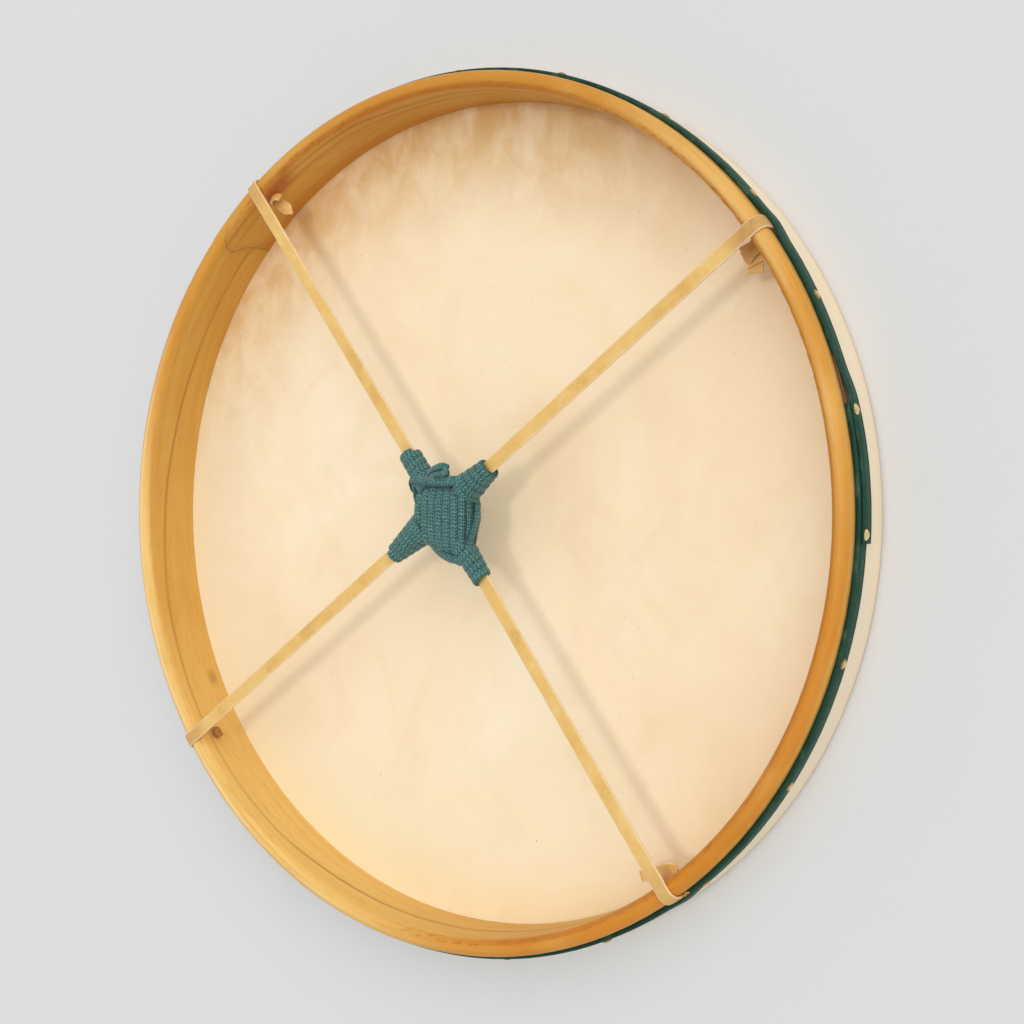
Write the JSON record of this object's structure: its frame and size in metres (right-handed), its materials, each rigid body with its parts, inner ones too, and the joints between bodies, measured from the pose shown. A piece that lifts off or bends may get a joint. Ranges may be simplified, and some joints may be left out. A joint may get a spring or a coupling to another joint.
{
  "type": "bodhran",
  "caption": "Shallow round frame drum: bent wooden hoop, stretched skin, tacked leather trim band, crossed rawhide laces and a cord-wound hand grip at the crossing.",
  "frame": {"origin": "on the hoop's axis, at the outer face of the skin", "axes": "+Z along the hoop's axis from the skin towards the open side; +Y is the top and +X the right as the open side is looked at"},
  "size_m": [0.4647, 0.4634, 0.0468],
  "materials": {
    "hoop_wood": "satin lacquer",
    "skin": "matt",
    "band_leather": "satin",
    "tack_brass": "polished",
    "rawhide": "satin",
    "grip_cord": "matt knit"
  },
  "bodies": {
    "root": {"hoop": "hoop_wood", "drumhead": "skin", "trim_band": "band_leather", "brass_tacks": "tack_brass", "lace_rising": "rawhide", "lace_falling": "rawhide", "grip_centre": "grip_cord", "grip_arm_upper_right": "grip_cord", "grip_arm_upper_left": "grip_cord", "grip_arm_lower_left": "grip_cord", "grip_arm_lower_right": "grip_cord", "grip_tail": "grip_cord"}
  },
  "joints": []
}
